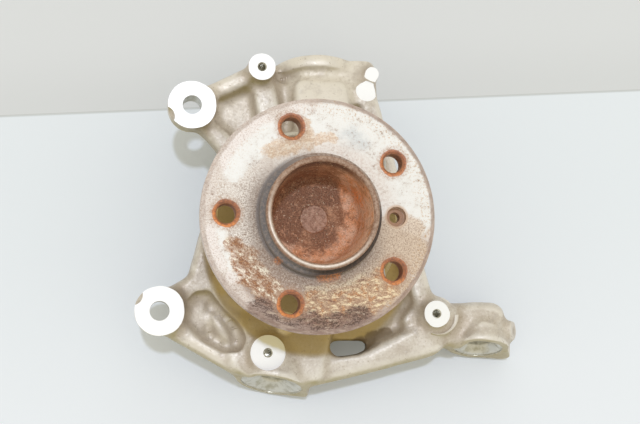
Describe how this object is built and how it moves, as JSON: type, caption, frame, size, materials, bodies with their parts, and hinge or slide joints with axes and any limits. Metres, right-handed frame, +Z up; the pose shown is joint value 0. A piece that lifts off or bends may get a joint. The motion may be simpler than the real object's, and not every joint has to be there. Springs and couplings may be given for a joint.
{
  "type": "wheel hub and steering knuckle",
  "caption": "Cast steering knuckle with a bolted wheel bearing unit whose flanged hub spins freely to carry a wheel and brake disc.",
  "frame": {"origin": "centre of the wheel mounting face, on the hub axis", "axes": "+Z up as it lies on its back, +X towards the tie-rod arm, +Y towards the strut clamp; the hub axis leans about eight degrees from +Z"},
  "size_m": [0.2765, 0.2417, 0.147],
  "materials": {
    "cast_aluminium": "as cast, matte, with machined faces",
    "hub_steel": "machined steel with patchy rust",
    "bearing_steel": "ground",
    "sheet_steel": "plain",
    "bolt_steel": "zinc flake, matte",
    "seal_rubber": "matte",
    "encoder_rubber": "matte",
    "cage_plastic": "natural polyamide"
  },
  "bodies": {
    "knuckle": {"steering_knuckle": "cast_aluminium", "bearing_outer_ring": "bearing_steel", "bearing_bolt_1": "bolt_steel", "bearing_bolt_2": "bolt_steel", "bearing_bolt_3": "bolt_steel", "bearing_bolt_4": "bolt_steel", "outboard_seal_case": "sheet_steel", "outboard_seal_lip": "seal_rubber", "inboard_seal_case": "sheet_steel", "inboard_seal_lip": "seal_rubber"},
    "hub": {"hub_flange": "hub_steel", "outboard_slinger": "sheet_steel", "inner_ring": "bearing_steel", "encoder_carrier": "sheet_steel", "encoder_ring": "encoder_rubber"},
    "outboard_row": {"outboard_cage": "cage_plastic", "outboard_balls": "bearing_steel"},
    "inboard_row": {"inboard_cage": "cage_plastic", "inboard_balls": "bearing_steel"}
  },
  "joints": [
    {"name": "hub_spin", "type": "hinge", "parent": "knuckle", "child": "hub", "pos_m": [0, 0, 0], "axis": [0.0467, -0.1355, 0.9897], "continuous": true},
    {"name": "outboard_row_spin", "type": "hinge", "parent": "knuckle", "child": "outboard_row", "pos_m": [-0.00154, 0.00447, -0.03266], "axis": [0.0467, -0.1355, 0.9897], "continuous": true},
    {"name": "inboard_row_spin", "type": "hinge", "parent": "knuckle", "child": "inboard_row", "pos_m": [-0.00285, 0.00827, -0.06037], "axis": [0.0467, -0.1355, 0.9897], "continuous": true}
  ],
  "couplings": [
    {"joint": "outboard_row_spin", "follows": "hub_spin", "ratio": 0.41667},
    {"joint": "inboard_row_spin", "follows": "hub_spin", "ratio": 0.41667}
  ]
}
